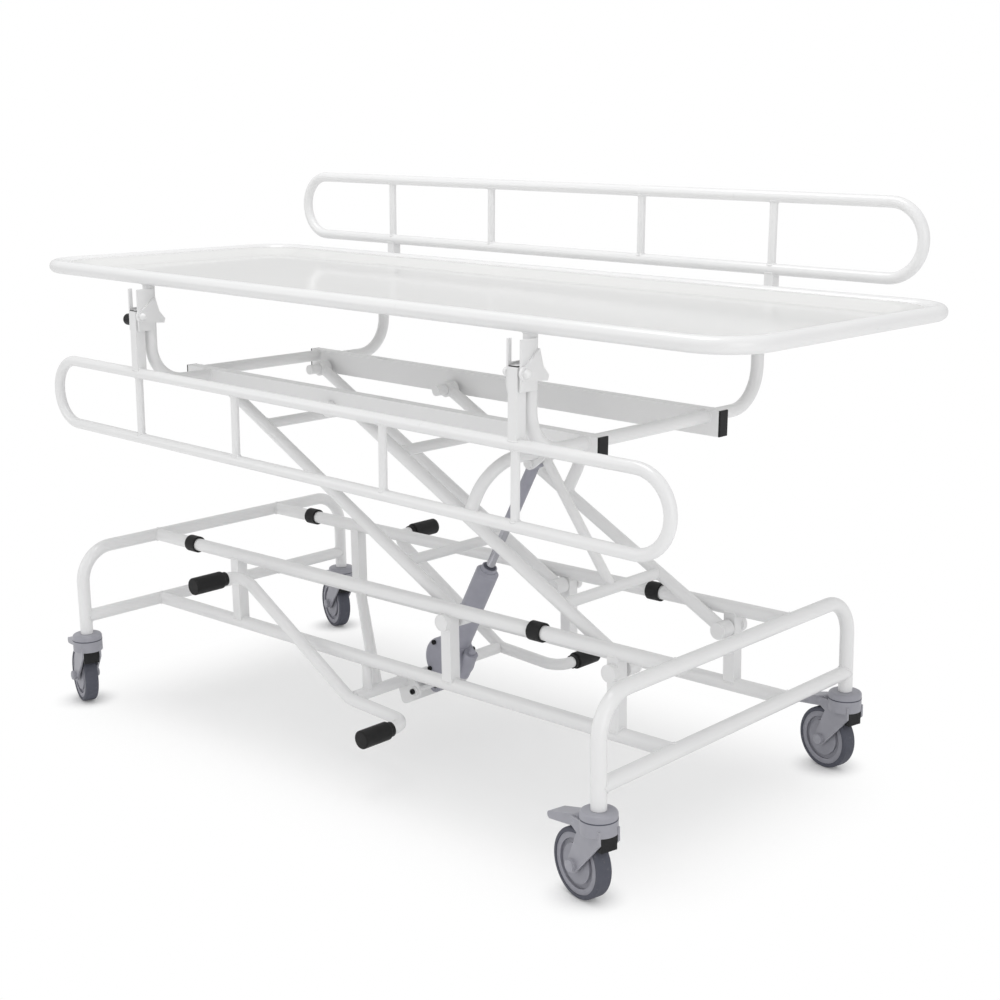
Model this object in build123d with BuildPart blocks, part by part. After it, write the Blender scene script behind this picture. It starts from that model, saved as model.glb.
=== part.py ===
from build123d import *
from math import cos, hypot, radians, sin
import os

os.makedirs("parts", exist_ok=True)

# Base frame, X along the trolley, Y across it, floor at Z = 0
wheelbase = 1500
track = 766
base_tube = 28
tube_wall = 2
leg_bottom_z = 171
lower_tube_z = 210
upper_tube_z = 363
side_tube_spacing = 354
hoop_bend_radius = 75
upright_size = 25
left_upright_x = -447
bumper_positions = (-605, 437)
bumper_diameter = 37
bumper_length = 32
bumper_edge = 1.5

# Parallel lift arms, seen from the near side
lower_pivot_x = 622
lower_pivot_z = 328
arm_run = 722
arm_rise = 397
arm_spacing = 414
deck_tilt = 1.6
arm_tube = 25
bush_diameter = 33
bush_length = 26
cross_tube = 22
upper_cross_station = 662
lower_cross_station = 176
pivot_pin = 16
cap_diameter = 33
outer_cap_length = 12
inner_cap_length = 6
boss_diameter = 22
boss_length = 28

# Hoop over the right arms that the hydraulic rod pushes
hoop_station = 446
lift_hoop_height = 129.5
lift_hoop_bend = 75
brace_tube = 20
rod_pin = 12
pin_head = 20
pin_head_length = 5
rod_pin_ahead = 3.7
rod_pin_below = 27.6
gusset_thickness = 6
gusset_reach = 9

# Hydraulic strut, measured along its axis from the foot pin
strut_length = 586
strut_slope = 61.3
foot_pin = 12
foot_travel = 4
lug_thickness = 30
lug_radius = 18
pump_diameter = 96
pump_centre = 73
pump_depth = 58
pump_edge = 6
pump_collar = 60
pump_seat = 121.5
plunger_barrel = 30
plunger_offset = 44
plunger_start = 62
plunger_end = 120
lower_barrel = 56
lower_barrel_length = 79
upper_barrel = 48
barrel_end = 312
barrel_edge = 6
barrel_bore = 40
top_cap_length = 14
gland_diameter = 32
gland_length = 8
rod_diameter = 18
piston_length = 20
rod_travel_in = 122
rod_travel_out = 33
sleeve_diameter = 24
sleeve_socket = 60
eye_radius = 14
eye_width = 26

# Foot pedals
pedal_tube = 25
pedal_shaft_back = 31.6
pedal_shaft_up = 17
lever_y = 226
long_pedal_x = -372
long_pedal_z = 341
long_pedal_end = 352
short_pedal_x = 134
short_pedal_z = 126
short_pedal_end = 347
lever_bend = 38
long_grip_length = 74
short_grip_length = 69
grip_diameter = 37
grip_collar = 30
grip_collar_length = 10
grip_end_wall = 4
grip_edge = 3
bracket_plate = 5
bracket_margin = 11
bracket_half = 73
bracket_drop = 52
pedal_brace_y = 150
hanger_tube = 20

# Deck, drawn level and tilted about the right upper pivots when saved
deck_rail_height = 50
deck_rail_width = 25
deck_rail_spacing = 356
deck_rail_left_overhang = 62
deck_rail_right_overhang = 30
deck_rail_above_pivot = 12
deck_cross_offset = 44
end_cap_thickness = 4
end_cap_plug = 15
end_cap_edge = 1.3
rim_tube = 28
rim_length = 1872
rim_width = 681
rim_corner = 87
rim_centre_x = 32
rim_above_pivot = 243
post_tube = 25
post_centre_x = 27
post_y = 332
post_bend = 78
post_leg_rise = 11
post_top_below = 7
tray_thickness = 3
tray_rise = 5
tray_dish = 16
tray_slope_width = 58
tray_corner = 110

# Side rails, each turning on two posts of the deck
rail_centre_x = 33
rail_post_offset = 532.6
rail_bar_offset = 212
rail_length = 1715
rail_tube = 22
rail_inner = 120
rail_outer = 258.5
rail_bar = 16
rail_post_width = 20
rail_post_depth = 22
rail_post_outset = 2
rail_post_end = 10
rail_pivot_y = 366
rail_pivot_above = 166
hinge_pin = 10
nut_diameter = 16
nut_base = 3
ear_thickness = 4
ear_above = 55
ear_below = 31
ear_outside = 6
ear_shoulder = 16
ear_horn = 8
latch_thickness = 5
latch_peak_reach = 34
latch_peak_height = 38
latch_notch_reach = 43
latch_notch_height = 8
latch_tip_reach = 57
latch_tip_drop = 8
latch_heel_reach = 54
latch_heel_drop = 17
latch_ring = 24
knob_diameter = 24
knob_length = 27
knob_edge = 5
knob_below = 11
knob_inward = 7
plunger_diameter = 8

# Casters, drawn about their stem with the wheel trailing towards -X
wheel_diameter = 125
tyre_width = 30
tyre_edge = 5
hub_diameter = 108
hub_groove_inner = 70
hub_groove_outer = 88
hub_groove_depth = 5
hub_recess = 1.5
axle_diameter = 12
caster_trail = 44
head_diameter = 65
head_height = 38
head_edge = 6
stem_pin = 14
stem_plug_length = 55
stem_flange = 22
stem_flange_length = 3
fork_plate = 4
fork_gap = 3
fork_front = 28
fork_back = 24
fork_shoulder = 12
fork_ear = 8
boss_radius = 13.5
axle_head = 20
axle_head_length = 4
pedal_reach = 119
pedal_width = 34
pedal_root_radius = 11
pedal_tip_radius = 7
pedal_drop = 14
pedal_rise = 8.5
pedal_hinge = 8
right_caster_turn = -12
left_caster_turn = -18

# Clearances
weld_gap = 0.05
running_fit = 0.05
open_pivot_fit = 0.3
side_play = 0.5
arm_clearance = 1
swivel_gap = 0.5


def save(piece, name):
    piece.label = name
    export_step(piece, f"parts/{name}.step")


def bar(start, end, diameter, mode=Mode.ADD):
    line = Vector(*end) - Vector(*start)
    with BuildSketch(Plane(origin=start, z_dir=line)) as disc:
        Circle(diameter / 2)
    extrude(disc.sketch, amount=line.length, mode=mode)


def tube(start, end, diameter):
    bar(start, end, diameter)
    bar(start, end, diameter - 2 * tube_wall, Mode.SUBTRACT)


def bent_tube(points, bend, diameter):
    with BuildLine() as path:
        FilletPolyline(*points, radius=bend)
    swept_tube(path.wire(), diameter)


def swept_bar(path, diameter, mode=Mode.ADD):
    with BuildSketch(Plane(origin=path @ 0, z_dir=path % 0)) as disc:
        Circle(diameter / 2)
    sweep(disc.sketch, path=path, mode=mode)


def swept_tube(path, diameter):
    swept_bar(path, diameter)
    swept_bar(path, diameter - 2 * tube_wall, Mode.SUBTRACT)


def block(x_range, y_range, z_range, mode=Mode.ADD):
    middle = [(low + high) / 2 for low, high in (x_range, y_range, z_range)]
    size = [abs(high - low) for low, high in (x_range, y_range, z_range)]
    with Locations(tuple(middle)):
        Box(*size, mode=mode)


def cope(start, end, diameter):
    bar(start, end, diameter + 2 * weld_gap, Mode.SUBTRACT)


def across(x, y_start, y_end, z):
    return (x, y_start, z), (x, y_end, z)


# Shared positions
sides = (-1, 1)
half_base = wheelbase / 2
half_track = track / 2
side_y = side_tube_spacing / 2
arm_y = side_y - (bumper_diameter + arm_tube) / 2 - arm_clearance
arm_length = hypot(arm_run, arm_rise)
tilt = radians(deck_tilt)
shift_x = -arm_spacing * cos(tilt)
shift_z = arm_spacing * sin(tilt)
right_foot = (lower_pivot_x, lower_pivot_z)
right_top = (lower_pivot_x - arm_run, lower_pivot_z + arm_rise)
left_foot = (lower_pivot_x + shift_x, lower_pivot_z + shift_z)
left_top = (right_top[0] + shift_x, right_top[1] + shift_z)
upright_positions = (left_upright_x, left_foot[0], right_foot[0])
deck_axis = Axis((right_top[0], 0, right_top[1]), (0, 1, 0))
fit_bore = pivot_pin + 2 * running_fit
open_bore = pivot_pin + 2 * open_pivot_fit


def arm_point(foot, station, lift=0):
    x = foot[0] - (station * arm_run - lift * arm_rise) / arm_length
    z = foot[1] + (station * arm_rise + lift * arm_run) / arm_length
    return x, z


# Base frame
def end_hoop(x):
    bent_tube(
        (
            (x, -half_track, leg_bottom_z),
            (x, -half_track, upper_tube_z),
            (x, half_track, upper_tube_z),
            (x, half_track, leg_bottom_z),
        ),
        hoop_bend_radius,
        base_tube,
    )


with BuildPart() as right_end_hoop:
    end_hoop(half_base)
save(right_end_hoop.part, "right_end_hoop")

with BuildPart() as left_end_hoop:
    end_hoop(-half_base)
save(left_end_hoop.part, "left_end_hoop")

with BuildPart() as lower_side_tubes:
    for side in sides:
        tube((-half_base, side * side_y, lower_tube_z), (half_base, side * side_y, lower_tube_z), base_tube)
    for x in (-half_base, half_base):
        cope(*across(x, -half_track, half_track, lower_tube_z), base_tube)

with BuildPart() as lower_cross_tubes:
    for x in (-half_base, half_base):
        tube(*across(x, -half_track, half_track, lower_tube_z), base_tube)
        for side in sides:
            cope((x, side * half_track, leg_bottom_z), (x, side * half_track, upper_tube_z), base_tube)

with BuildPart() as lower_frame_tubes:
    add(lower_side_tubes.part)
    add(lower_cross_tubes.part)
save(lower_frame_tubes.part, "lower_frame_tubes")

with BuildPart() as upper_side_tubes:
    for side in sides:
        tube((-half_base, side * side_y, upper_tube_z), (half_base, side * side_y, upper_tube_z), base_tube)
    for x in (-half_base, half_base):
        cope(*across(x, -half_track, half_track, upper_tube_z), base_tube)
save(upper_side_tubes.part, "upper_side_tubes")

with BuildPart() as uprights:
    half_upright = upright_size / 2
    bore_half = half_upright - tube_wall
    for x in upright_positions:
        for side in sides:
            y = side * side_y
            span_z = (lower_tube_z, upper_tube_z)
            block((x - half_upright, x + half_upright), (y - half_upright, y + half_upright), span_z)
            block((x - bore_half, x + bore_half), (y - bore_half, y + bore_half), span_z, Mode.SUBTRACT)
    for side in sides:
        for z in (lower_tube_z, upper_tube_z):
            cope((-half_base, side * side_y, z), (half_base, side * side_y, z), base_tube)
    for x, z in (left_foot, right_foot):
        bar(*across(x, -half_track, half_track, z), fit_bore, Mode.SUBTRACT)
save(uprights.part, "uprights")

with BuildPart() as rubber_bumpers:
    for x in bumper_positions:
        for side in sides:
            ends = [(x + end * bumper_length / 2, side * side_y, upper_tube_z) for end in sides]
            bar(*ends, bumper_diameter)
            cope(*ends, base_tube)
    chamfer(rubber_bumpers.edges().filter_by(GeomType.CIRCLE), length=bumper_edge)
save(rubber_bumpers.part, "rubber_bumpers")

bush_inner_y = arm_y - bush_length / 2
inner_cap_y = bush_inner_y - side_play


def pivot_pins(place, seat_face, inner_diameter, inner_length):
    x, z = place
    for side in sides:
        bar(*across(x, side * inner_cap_y, side * seat_face, z), pivot_pin)
        bar(*across(x, side * inner_cap_y, side * (inner_cap_y - inner_length), z), inner_diameter)


def outer_caps(place, seat_face):
    x, z = place
    for side in sides:
        cap_start = side * (seat_face + weld_gap)
        cap_end = cap_start + side * outer_cap_length
        bar(*across(x, side * seat_face, cap_end, z), pivot_pin)
        bar(*across(x, cap_start, cap_end, z), cap_diameter)


with BuildPart() as lower_pivot_pins:
    upright_face = side_y + upright_size / 2
    for place in (left_foot, right_foot):
        pivot_pins(place, upright_face, cap_diameter, inner_cap_length)
        outer_caps(place, upright_face)
save(lower_pivot_pins.part, "lower_pivot_pins")


# Lift arms
def arm_pair(foot, top, top_bore):
    for side in sides:
        y = side * arm_y
        ends = [(x, y, z) for x, z in (foot, top)]
        bar(*ends, arm_tube)
        for x, z in (foot, top):
            bar(*across(x, y - bush_length / 2, y + bush_length / 2, z), bush_diameter)
        hollow_start = bush_diameter / 2
        hollow = [arm_point(foot, station) for station in (hollow_start, arm_length - hollow_start)]
        bar(*[(x, y, z) for x, z in hollow], arm_tube - 2 * tube_wall, Mode.SUBTRACT)
    for (x, z), bore in ((foot, fit_bore), (top, top_bore)):
        bar(*across(x, -half_track, half_track, z), bore, Mode.SUBTRACT)


def arm_copes(foot, top):
    for side in sides:
        cope((foot[0], side * arm_y, foot[1]), (top[0], side * arm_y, top[1]), arm_tube)


def arm_cross_tubes(foot, top):
    for station in (upper_cross_station, lower_cross_station):
        x, z = arm_point(foot, station)
        tube(*across(x, -arm_y, arm_y, z), cross_tube)
    arm_copes(foot, top)


with BuildPart() as right_arms:
    arm_pair(right_foot, right_top, fit_bore)
save(right_arms.part, "right_arms")

with BuildPart() as left_arms:
    arm_pair(left_foot, left_top, open_bore)
save(left_arms.part, "left_arms")

with BuildPart() as left_cross_tubes:
    arm_cross_tubes(left_foot, left_top)
save(left_cross_tubes.part, "left_cross_tubes")

crown_x, crown_z = arm_point(right_foot, hoop_station, lift_hoop_height)
low_cross_x, low_cross_z = arm_point(right_foot, lower_cross_station)

with BuildPart() as brace:
    tube((crown_x, 0, crown_z), (low_cross_x, 0, low_cross_z), brace_tube)
    cope(*across(crown_x, -arm_y, arm_y, crown_z), arm_tube)
    cope(*across(low_cross_x, -arm_y, arm_y, low_cross_z), cross_tube)

with BuildPart() as right_cross_tubes:
    arm_cross_tubes(right_foot, right_top)
    add(brace.part)
save(right_cross_tubes.part, "right_cross_tubes")

with BuildPart() as lift_hoop:
    hoop_x, hoop_z = arm_point(right_foot, hoop_station)
    corners = [(x, side * arm_y, z) for side in sides for x, z in ((hoop_x, hoop_z), (crown_x, crown_z))]
    bent_tube((corners[0], corners[1], corners[3], corners[2]), lift_hoop_bend, arm_tube)
    arm_copes(right_foot, right_top)
save(lift_hoop.part, "lift_hoop")

rod_pin_at = arm_point(right_foot, hoop_station + rod_pin_ahead, lift_hoop_height - rod_pin_below)
gusset_inner_y = eye_width / 2 + side_play
gusset_outer_y = gusset_inner_y + gusset_thickness

with BuildPart() as rod_bracket:
    for face in (gusset_outer_y, -gusset_inner_y):
        with BuildSketch(Plane.XZ.offset(face)):
            with Locations(rod_pin_at):
                Circle(eye_radius)
            for station in (-gusset_reach, gusset_reach):
                with Locations(arm_point(right_foot, hoop_station + station, lift_hoop_height)):
                    Circle(eye_radius)
            make_hull()
        extrude(amount=-gusset_thickness)
    cope(*across(crown_x, -arm_y, arm_y, crown_z), arm_tube)
    bar(*across(rod_pin_at[0], -arm_y, arm_y, rod_pin_at[1]), rod_pin + 2 * weld_gap, Mode.SUBTRACT)
save(rod_bracket.part, "rod_bracket")

rod_pin_end = gusset_outer_y + weld_gap

with BuildPart() as rod_pin_part:
    bar(*across(rod_pin_at[0], -rod_pin_end, rod_pin_end, rod_pin_at[1]), rod_pin)
    for side in sides:
        head_end = side * (rod_pin_end + pin_head_length)
        bar(*across(rod_pin_at[0], side * rod_pin_end, head_end, rod_pin_at[1]), pin_head)
save(rod_pin_part.part, "rod_pin")

# Hydraulic strut
lean_x = cos(radians(strut_slope))
lean_z = sin(radians(strut_slope))
foot_x = rod_pin_at[0] - strut_length * lean_x
foot_z = rod_pin_at[1] - strut_length * lean_z
strut_plane = Plane(origin=(foot_x, 0, foot_z), x_dir=(lean_z, 0, -lean_x), z_dir=(lean_x, 0, lean_z))
bore_end = barrel_end - top_cap_length
piston_top = bore_end - rod_travel_out
sleeve_start = barrel_end + gland_length + rod_travel_in + side_play


def on_strut(distance, offset=0):
    x = foot_x + distance * lean_x + offset * lean_z
    z = foot_z + distance * lean_z - offset * lean_x
    return x, 0, z


with BuildPart() as pump_body:
    pump_x, _, pump_z = on_strut(pump_centre)
    bar(*across(pump_x, -pump_depth / 2, pump_depth / 2, pump_z), pump_diameter)
    fillet(pump_body.edges().filter_by(GeomType.CIRCLE), pump_edge)
    bar(on_strut(pump_centre), on_strut(pump_seat), pump_collar)
    bar(on_strut(plunger_start, plunger_offset), on_strut(plunger_end, plunger_offset), plunger_barrel)
    with BuildSketch(strut_plane):
        Rectangle(2 * lug_radius, lug_thickness)
    extrude(amount=pump_centre)
    bar(*across(foot_x, -lug_thickness / 2, lug_thickness / 2, foot_z), 2 * lug_radius)
    bar(*across(foot_x, -lug_thickness, lug_thickness, foot_z), foot_pin + 2 * foot_travel, Mode.SUBTRACT)
save(pump_body.part, "pump_body")

with BuildPart() as cylinder:
    barrel_start = pump_seat + weld_gap
    bar(on_strut(barrel_start), on_strut(barrel_end), upper_barrel)
    barrel_top = cylinder.faces().sort_by(Axis(on_strut(0), strut_plane.z_dir))[-1]
    chamfer(barrel_top.edges(), length=barrel_edge)
    bar(on_strut(barrel_start), on_strut(pump_seat + lower_barrel_length), lower_barrel)
    bar(on_strut(barrel_end), on_strut(barrel_end + gland_length), gland_diameter)
    bar(on_strut(piston_top - piston_length - rod_travel_in), on_strut(bore_end), barrel_bore, Mode.SUBTRACT)
    bar(on_strut(bore_end), on_strut(sleeve_start), rod_diameter + 2 * running_fit, Mode.SUBTRACT)
save(cylinder.part, "cylinder")

with BuildPart() as piston_rod:
    bar(on_strut(piston_top - piston_length), on_strut(piston_top), barrel_bore - 2 * running_fit)
    bar(on_strut(piston_top), on_strut(sleeve_start + sleeve_socket), rod_diameter)
save(piston_rod.part, "piston_rod")

with BuildPart() as rod_end:
    bar(on_strut(sleeve_start), on_strut(strut_length), sleeve_diameter)
    bar(*across(rod_pin_at[0], -eye_width / 2, eye_width / 2, rod_pin_at[1]), 2 * eye_radius)
    socket_end = sleeve_start + sleeve_socket + weld_gap
    bar(on_strut(sleeve_start), on_strut(socket_end), rod_diameter + 2 * weld_gap, Mode.SUBTRACT)
    bar(*across(rod_pin_at[0], -arm_y, arm_y, rod_pin_at[1]), rod_pin + 2 * running_fit, Mode.SUBTRACT)
save(rod_end.part, "rod_end")

# Bracket that holds the pump foot, with the sleeve in which the pedal shaft turns
pedal_shaft_x = foot_x - pedal_shaft_back
pedal_shaft_z = foot_z + pedal_shaft_up
plate_inner_y = bracket_half - bracket_plate
foot_pin_end = bracket_half + weld_gap
sleeve_end = lever_y - pedal_tube / 2 - side_play
sleeve_bore = pedal_tube - 2 * tube_wall

with BuildPart() as foot_pin_part:
    bar(*across(foot_x, -foot_pin_end, foot_pin_end, foot_z), foot_pin)
    for side in sides:
        bar(*across(foot_x, side * foot_pin_end, side * (foot_pin_end + pin_head_length), foot_z), pin_head)

with BuildPart() as pump_bracket:
    bracket_bottom = pedal_shaft_z - bracket_drop
    for face in (bracket_half, -plate_inner_y):
        with BuildSketch(Plane.XZ.offset(face)):
            with Locations((pedal_shaft_x, pedal_shaft_z)):
                Circle(pedal_tube / 2 + bracket_margin)
            with Locations((foot_x, foot_z)):
                Circle(pin_head / 2 + bracket_margin / 2)
            with Locations((pedal_shaft_x, bracket_bottom + bracket_margin)):
                Circle(bracket_margin)
            make_hull()
        extrude(amount=-bracket_plate)
    block(
        (pedal_shaft_x - bracket_plate / 2, pedal_shaft_x + bracket_plate / 2),
        (-plate_inner_y, plate_inner_y),
        (bracket_bottom, pedal_shaft_z),
    )
    bar(*across(pedal_shaft_x, -sleeve_end, sleeve_end, pedal_shaft_z), pedal_tube)
    bar(*across(pedal_shaft_x, -sleeve_end, sleeve_end, pedal_shaft_z), sleeve_bore, Mode.SUBTRACT)
    bar(*across(foot_x, -side_y, side_y, foot_z), foot_pin + 2 * weld_gap, Mode.SUBTRACT)
    add(foot_pin_part.part)
save(pump_bracket.part, "pump_bracket")

with BuildPart() as pedal_brace:
    far_foot = (left_upright_x, side_y, lower_tube_z)
    near_end = (pedal_shaft_x, -pedal_brace_y, pedal_shaft_z)
    bar(far_foot, near_end, pedal_tube)
    bar((pedal_shaft_x, -side_y, lower_tube_z), (pedal_shaft_x, -side_y, pedal_shaft_z), hanger_tube)
    bar(far_foot, near_end, pedal_tube - 2 * tube_wall, Mode.SUBTRACT)
    for side in sides:
        cope((-half_base, side * side_y, lower_tube_z), (half_base, side * side_y, lower_tube_z), base_tube)
    cope(*across(pedal_shaft_x, -sleeve_end, sleeve_end, pedal_shaft_z), pedal_tube)
    upright_half = upright_size / 2 + weld_gap
    block(
        (left_upright_x - upright_half, left_upright_x + upright_half),
        (side_y - upright_half, side_y + upright_half),
        (lower_tube_z, upper_tube_z),
        Mode.SUBTRACT,
    )
save(pedal_brace.part, "pedal_brace")


# Foot pedals
def lever_points(side):
    return (
        (long_pedal_x, side * long_pedal_end, long_pedal_z),
        (long_pedal_x, side * lever_y, long_pedal_z),
        (pedal_shaft_x, side * lever_y, pedal_shaft_z),
        (short_pedal_x, side * lever_y, short_pedal_z),
        (short_pedal_x, side * short_pedal_end, short_pedal_z),
    )


with BuildPart() as pedal_levers:
    for side in sides:
        bent_tube(lever_points(side), lever_bend, pedal_tube)
save(pedal_levers.part, "pedal_levers")

with BuildPart() as lever_envelope:
    for side in sides:
        with BuildLine() as lever_path:
            FilletPolyline(*lever_points(side), radius=lever_bend)
        swept_bar(lever_path.wire(), pedal_tube + 2 * weld_gap)

with BuildPart() as pedal_shaft:
    bar(*across(pedal_shaft_x, -lever_y, lever_y, pedal_shaft_z), sleeve_bore - 2 * running_fit)
    add(lever_envelope.part, mode=Mode.SUBTRACT)
save(pedal_shaft.part, "pedal_shaft")

with BuildPart() as pedal_grips:
    for x, z, end, length in (
        (long_pedal_x, long_pedal_z, long_pedal_end, long_grip_length),
        (short_pedal_x, short_pedal_z, short_pedal_end, short_grip_length),
    ):
        for side in sides:
            outer_y = side * (end + grip_end_wall)
            inner_y = side * (end + grip_end_wall - length)
            collar_y = inner_y - side * grip_collar_length
            bar(*across(x, inner_y, outer_y, z), grip_diameter)
            bar(*across(x, collar_y, inner_y, z), grip_collar)
            bar(*across(x, collar_y, side * (end + weld_gap), z), pedal_tube + 2 * weld_gap, Mode.SUBTRACT)
    rims = pedal_grips.edges().filter_by(GeomType.CIRCLE)
    fillet(rims.filter_by(lambda rim: abs(rim.radius - grip_diameter / 2) < weld_gap), grip_edge)
save(pedal_grips.part, "pedal_grips")

# Deck, drawn level
pivot_z = right_top[1]
deck_rail_y = deck_rail_spacing / 2
deck_rail_z = pivot_z + deck_rail_above_pivot
rim_z = pivot_z + rim_above_pivot
hinge_z = pivot_z + rail_pivot_above
post_positions = [post_centre_x + end * rail_post_offset for end in sides]
left_pivot_x = right_top[0] - arm_spacing
deck_pivots = (right_top, (left_pivot_x, pivot_z))
rail_ends = (left_pivot_x - deck_rail_left_overhang, post_positions[1] + deck_rail_right_overhang)
post_leg_z = deck_rail_z + post_leg_rise
half_width = deck_rail_width / 2
half_height = deck_rail_height / 2
wide = half_width - tube_wall
high = half_height - tube_wall


def save_deck(piece, name):
    save(piece.rotate(deck_axis, deck_tilt), name)


with BuildPart() as deck_rails:
    for side in sides:
        y = side * deck_rail_y
        z = deck_rail_z
        block(rail_ends, (y - half_width, y + half_width), (z - half_height, z + half_height))
        block(rail_ends, (y - wide, y + wide), (z - high, z + high), Mode.SUBTRACT)
    for x, z in deck_pivots:
        bar(*across(x, -half_track, half_track, z), fit_bore, Mode.SUBTRACT)
save_deck(deck_rails.part, "deck_rails")

with BuildPart() as deck_rail_caps:
    for end, face in zip(sides, rail_ends):
        face_x = face + end * weld_gap
        plug_x = face - end * end_cap_plug
        outer_x = face_x + end * end_cap_thickness
        for side in sides:
            y = side * deck_rail_y
            z = deck_rail_z
            fit_w = wide - weld_gap
            fit_h = high - weld_gap
            block((face_x, outer_x), (y - half_width, y + half_width), (z - half_height, z + half_height))
            block((plug_x, face_x), (y - fit_w, y + fit_w), (z - fit_h, z + fit_h))
    cap_faces = deck_rail_caps.faces().filter_by(Axis.X).group_by(Axis.X)
    fillet(cap_faces[0].edges() + cap_faces[-1].edges(), end_cap_edge)
save_deck(deck_rail_caps.part, "deck_rail_caps")

with BuildPart() as deck_cross_tubes:
    cross_end = deck_rail_y - half_width - weld_gap
    for x in (left_pivot_x - deck_cross_offset, post_positions[1]):
        tube(*across(x, -cross_end, cross_end, post_leg_z), post_tube)
save_deck(deck_cross_tubes.part, "deck_cross_tubes")

with BuildPart() as deck_posts:
    post_start = deck_rail_y + half_width + weld_gap
    post_top = rim_z - post_top_below
    for x in post_positions:
        for side in sides:
            y = side * post_y
            bend_points = ((x, side * post_start, post_leg_z), (x, y, post_leg_z), (x, y, post_top))
            bent_tube(bend_points, post_bend, post_tube)
    for side in sides:
        y = side * rim_width / 2
        cope((rim_centre_x - rim_length / 2, y, rim_z), (rim_centre_x + rim_length / 2, y, rim_z), rim_tube)
save_deck(deck_posts.part, "deck_posts")

with BuildPart() as deck_rim:
    with BuildSketch(Plane((rim_centre_x, 0, rim_z)), mode=Mode.PRIVATE) as rim_outline:
        RectangleRounded(rim_length, rim_width, rim_corner)
    swept_tube(rim_outline.sketch.face().outer_wire(), rim_tube)
save_deck(deck_rim.part, "deck_rim")

tray_base_z = rim_z + tray_rise
tray_inset = ((rim_tube / 2) ** 2 - tray_rise ** 2) ** 0.5 + weld_gap
tray_length = rim_length - 2 * tray_inset
tray_width = rim_width - 2 * tray_inset
floor_length = tray_length - 2 * tray_slope_width
floor_width = tray_width - 2 * tray_slope_width


def dish(top_z, mode):
    with BuildSketch(Plane((rim_centre_x, 0, top_z))) as brim:
        RectangleRounded(tray_length, tray_width, tray_corner)
    with BuildSketch(Plane((rim_centre_x, 0, top_z - tray_dish))) as floor:
        RectangleRounded(floor_length, floor_width, tray_corner)
    loft([brim.sketch, floor.sketch], ruled=True, mode=mode)


with BuildPart() as tray:
    with BuildSketch(Plane((rim_centre_x, 0, tray_base_z))):
        RectangleRounded(tray_length, tray_width, tray_corner)
    extrude(amount=tray_thickness)
    dish(tray_base_z, Mode.ADD)
    dish(tray_base_z + tray_thickness, Mode.SUBTRACT)
save_deck(tray.part, "tray")

with BuildPart() as upper_pivot_pins:
    rail_face = deck_rail_y + half_width
    for place in deck_pivots:
        pivot_pins(place, rail_face, boss_diameter, boss_length)
    outer_caps(right_top, rail_face)
save_deck(upper_pivot_pins.part, "upper_pivot_pins")

# Hinge brackets of the side rails
ear_inner = max(rail_post_width / 2 + side_play, post_tube / 2 + weld_gap)
ear_outer = ear_inner + ear_thickness
latch_inner = ear_outer + running_fit
latch_outer = latch_inner + latch_thickness
web_y = post_y + post_tube / 2 + weld_gap
knob_y = knob_inward - rail_pivot_y
knob_z = hinge_z - knob_below
knob_post_x = post_positions[0]
pin_bore = hinge_pin + 2 * running_fit


def along(x_start, x_end, y, z):
    return (x_start, y, z), (x_end, y, z)


with BuildPart() as rail_hinge_brackets:
    for x in post_positions:
        for side in sides:
            ear_edge = side * (rail_pivot_y + ear_outside)
            left_ear = (x - ear_outer, x - ear_inner)
            right_ear = (x + ear_inner, x + ear_outer)
            web_z = (hinge_z - ear_below, hinge_z)
            shoulder_z = (hinge_z - ear_below, hinge_z + ear_shoulder)
            horn_z = (hinge_z, hinge_z + ear_above)
            block(left_ear, (side * post_y, ear_edge), shoulder_z)
            block(left_ear, (ear_edge - side * ear_horn, ear_edge), horn_z)
            block(right_ear, (side * post_y, ear_edge), (hinge_z - ear_below, hinge_z + ear_above))
            block((x - ear_inner, x + ear_inner), (side * web_y, side * (web_y + ear_thickness)), web_z)
            bar(*along(x - ear_outer, x + ear_outer, side * rail_pivot_y, hinge_z), pin_bore, Mode.SUBTRACT)
    plunger_hole = plunger_diameter + 2 * running_fit
    hole_ends = (knob_post_x - ear_outer, knob_post_x - ear_inner)
    bar(*along(*hole_ends, knob_y, knob_z), plunger_hole, Mode.SUBTRACT)
save_deck(rail_hinge_brackets.part, "rail_hinge_brackets")

with BuildPart() as rail_hinge_pins:
    for x in post_positions:
        for side in sides:
            y = side * rail_pivot_y
            pin_ends = (x - ear_outer - weld_gap, x + latch_outer + running_fit)
            bar(*along(*pin_ends, y, hinge_z), hinge_pin)
            # The knob sits where the left nut of the near left pin would be
            beside_knob = x == knob_post_x and side == sides[0]
            for end, face in list(zip(sides, pin_ends))[beside_knob:]:
                base = face + end * nut_base
                bar(*along(face, base, y, hinge_z), nut_diameter)
                with Locations(Location((base, y, hinge_z), (0, end * 90, 0))):
                    Sphere(nut_diameter / 2 - running_fit, arc_size1=0, align=None)
save_deck(rail_hinge_pins.part, "rail_hinge_pins")


def latch(x, side):
    outline = (
        (0, latch_ring / 2),
        (latch_peak_reach, latch_peak_height),
        (latch_notch_reach, latch_notch_height),
        (latch_tip_reach, -latch_tip_drop),
        (latch_heel_reach, -latch_heel_drop),
        (0, -latch_ring / 2),
    )
    corners = [(side * (rail_pivot_y - inward), hinge_z + height) for inward, height in outline]
    with BuildSketch(Plane.YZ.offset(x + latch_inner)) as latch_face:
        with BuildLine():
            Polyline(*corners, close=True)
        make_face()
        with Locations((side * rail_pivot_y, hinge_z)):
            Circle(latch_ring / 2)
            Circle(pin_bore / 2, mode=Mode.SUBTRACT)
    extrude(latch_face.sketch, amount=latch_thickness)


for side, side_name in zip(sides, ("near", "far")):
    for x, end_name in zip(post_positions, ("left", "right")):
        with BuildPart() as rail_latch:
            latch(x, side)
        save_deck(rail_latch.part, f"{side_name}_{end_name}_latch")

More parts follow.
